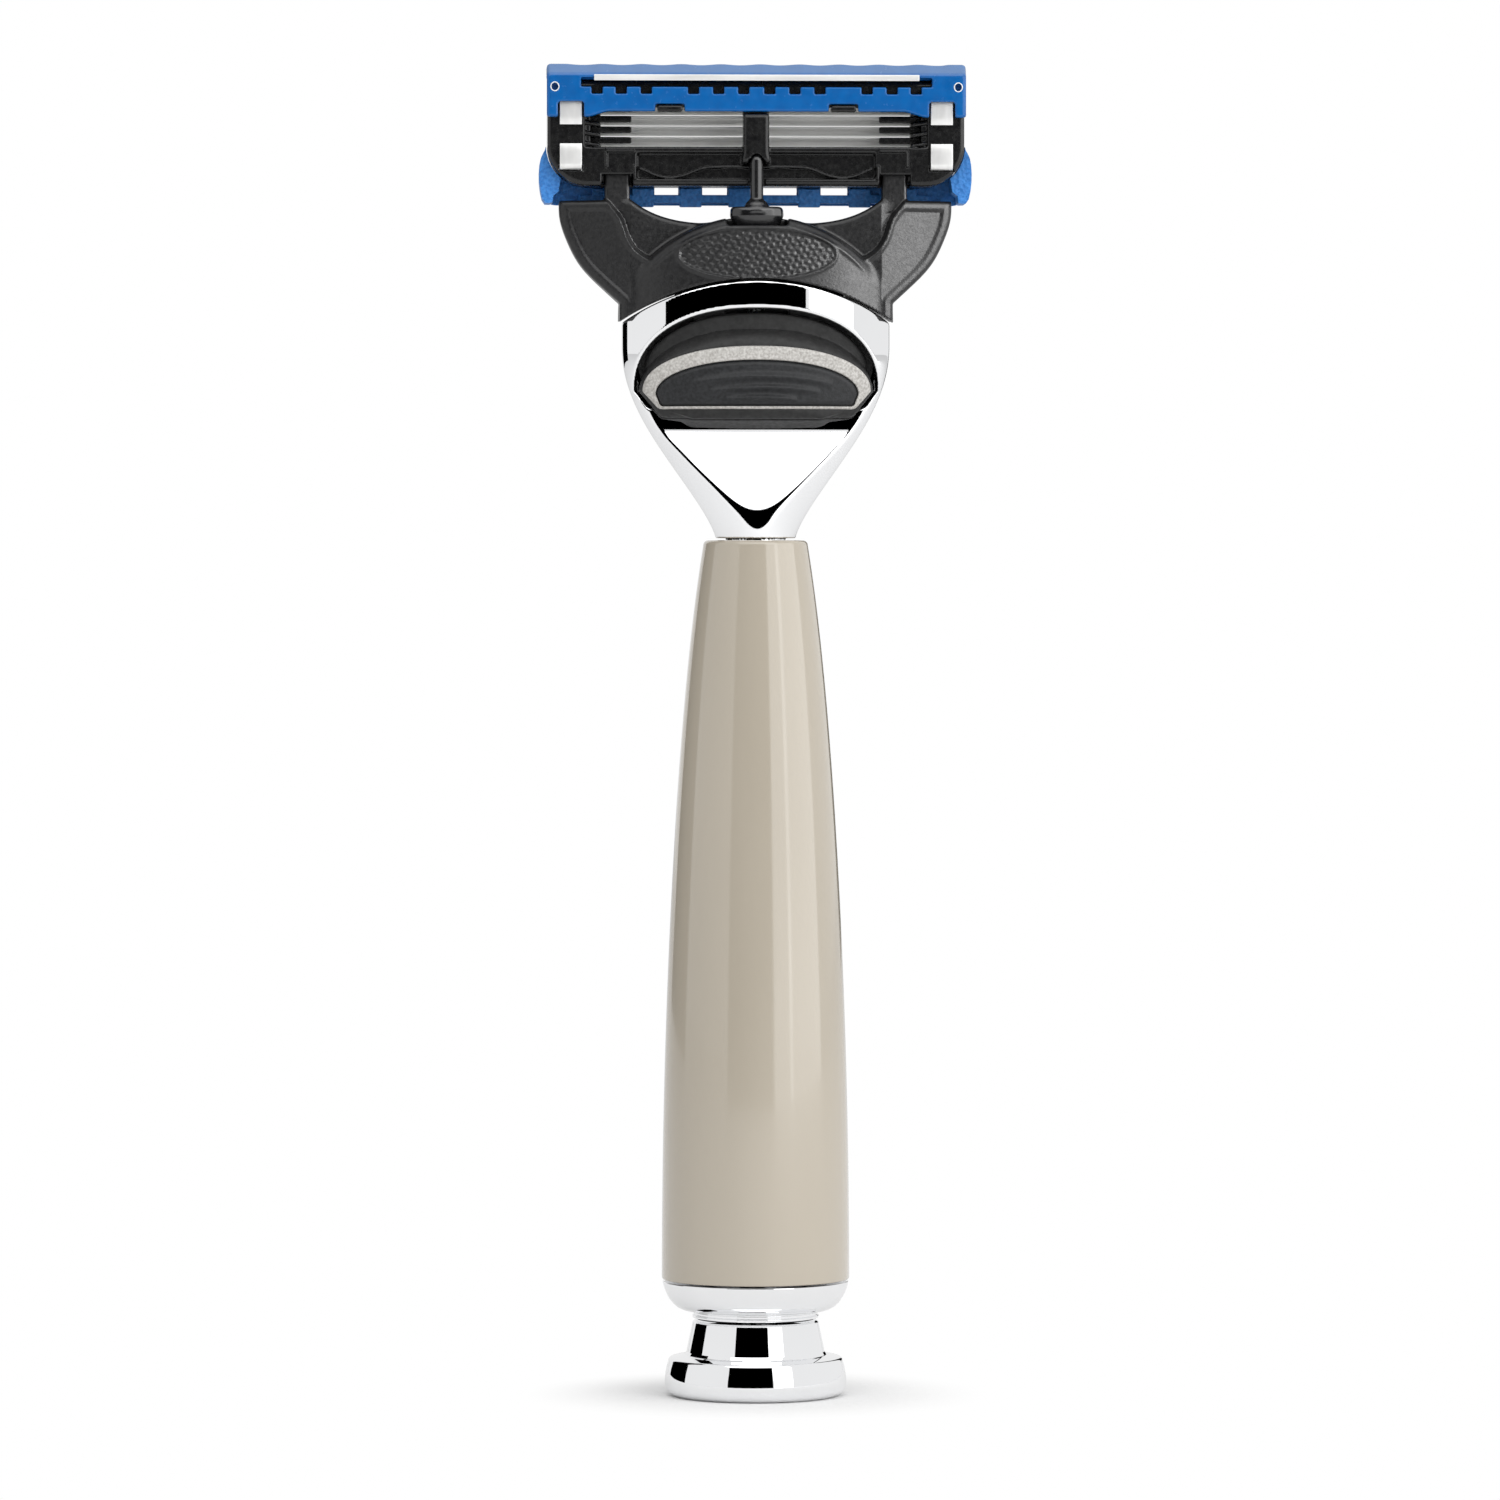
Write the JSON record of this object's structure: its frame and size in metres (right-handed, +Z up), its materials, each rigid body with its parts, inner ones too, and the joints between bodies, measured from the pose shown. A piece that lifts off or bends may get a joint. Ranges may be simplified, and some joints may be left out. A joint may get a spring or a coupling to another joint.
{
  "type": "cartridge razor",
  "caption": "Standing wet-shaving razor: turned resin handle with plated ends, plated neck with a sliding eject button, and a pivoting blade cartridge on a sprung plunger.",
  "frame": {"origin": "middle of the foot's flat underside, on the handle's axis", "axes": "+Z up along the handle, -Y towards the eject button and the cartridge's back, +X to the right seen from the button side"},
  "size_m": [0.0432, 0.0188, 0.1331],
  "materials": {
    "chrome": "polished chrome plate",
    "resin": "polished cast resin, warm grey",
    "black_plastic": "satin moulded plastic with a fine spark-eroded texture",
    "grey_ring": "matt light grey moulding",
    "dark_rubber": "soft-touch rubber with raised grip lines",
    "spring_steel": "drawn steel",
    "blade_steel": "ground stainless strip",
    "clip_metal": "bright rolled aluminium strip",
    "blue_plastic": "glossy blue moulding",
    "blue_rubber": "matt blue elastomer with fine texture",
    "strip_gel": "waxy lubricating strip"
  },
  "bodies": {
    "handle": {"foot": "chrome", "foot_collar": "chrome", "handle_sleeve": "resin", "tie_rod": "spring_steel", "neck_casting": "chrome", "neck_insert": "black_plastic", "ejector_spring": "spring_steel", "plunger_spring": "spring_steel"},
    "ejector": {"ejector_carriage": "black_plastic", "button_shell": "black_plastic", "button_ring": "grey_ring", "button_pad": "dark_rubber"},
    "plunger": {"plunger": "black_plastic"},
    "yoke": {"yoke": "black_plastic"},
    "cartridge": {"cartridge_frame": "black_plastic", "trimmer_carrier": "blue_plastic", "trimmer_blade": "blade_steel", "cap": "blue_plastic", "lubricating_strip": "strip_gel", "guard_bar": "blue_plastic", "guard_rubber": "blue_rubber", "clip_right": "clip_metal", "clip_left": "clip_metal"},
    "blade_unit_1": {"blade_1": "blade_steel", "blade_support_1": "blade_steel"},
    "blade_unit_2": {"blade_2": "blade_steel", "blade_support_2": "blade_steel"},
    "blade_unit_3": {"blade_3": "blade_steel", "blade_support_3": "blade_steel"},
    "blade_unit_4": {"blade_4": "blade_steel", "blade_support_4": "blade_steel"},
    "blade_unit_5": {"blade_5": "blade_steel", "blade_support_5": "blade_steel"}
  },
  "joints": [
    {"name": "eject_button_slide", "type": "slide", "parent": "handle", "child": "ejector", "axis": [0, 0, 1], "range_m": [0, 0.0018], "stiffness_N_per_m": 900, "springref_m": -0.001, "deforming": ["ejector_spring"]},
    {"name": "cartridge_release", "type": "slide", "parent": "handle", "child": "yoke", "axis": [0, 0, 1], "range_m": [0, 0.022]},
    {"name": "cartridge_pivot", "type": "hinge", "parent": "yoke", "child": "cartridge", "pos_m": [0, 0, 0.122], "axis": [1, 0, 0], "range_deg": [0, 40], "stiffness_Nm_per_rad": 0.01, "springref_deg": -11.46},
    {"name": "plunger_slide", "type": "slide", "parent": "handle", "child": "plunger", "axis": [0, 0, 1], "range_m": [-0.0018, 0], "deforming": ["plunger_spring"]},
    {"name": "blade_float_1", "type": "slide", "parent": "cartridge", "child": "blade_unit_1", "axis": [0, -1, 0], "range_m": [0, 0.0002], "stiffness_N_per_m": 1500, "springref_m": -0.0001},
    {"name": "blade_float_2", "type": "slide", "parent": "cartridge", "child": "blade_unit_2", "axis": [0, -1, 0], "range_m": [0, 0.0002], "stiffness_N_per_m": 1500, "springref_m": -0.0001},
    {"name": "blade_float_3", "type": "slide", "parent": "cartridge", "child": "blade_unit_3", "axis": [0, -1, 0], "range_m": [0, 0.0002], "stiffness_N_per_m": 1500, "springref_m": -0.0001},
    {"name": "blade_float_4", "type": "slide", "parent": "cartridge", "child": "blade_unit_4", "axis": [0, -1, 0], "range_m": [0, 0.0002], "stiffness_N_per_m": 1500, "springref_m": -0.0001},
    {"name": "blade_float_5", "type": "slide", "parent": "cartridge", "child": "blade_unit_5", "axis": [0, -1, 0], "range_m": [0, 0.0002], "stiffness_N_per_m": 1500, "springref_m": -0.0001}
  ],
  "couplings": [
    {"joint": "plunger_slide", "follows": "cartridge_pivot", "m_per_rad": -0.0025}
  ]
}
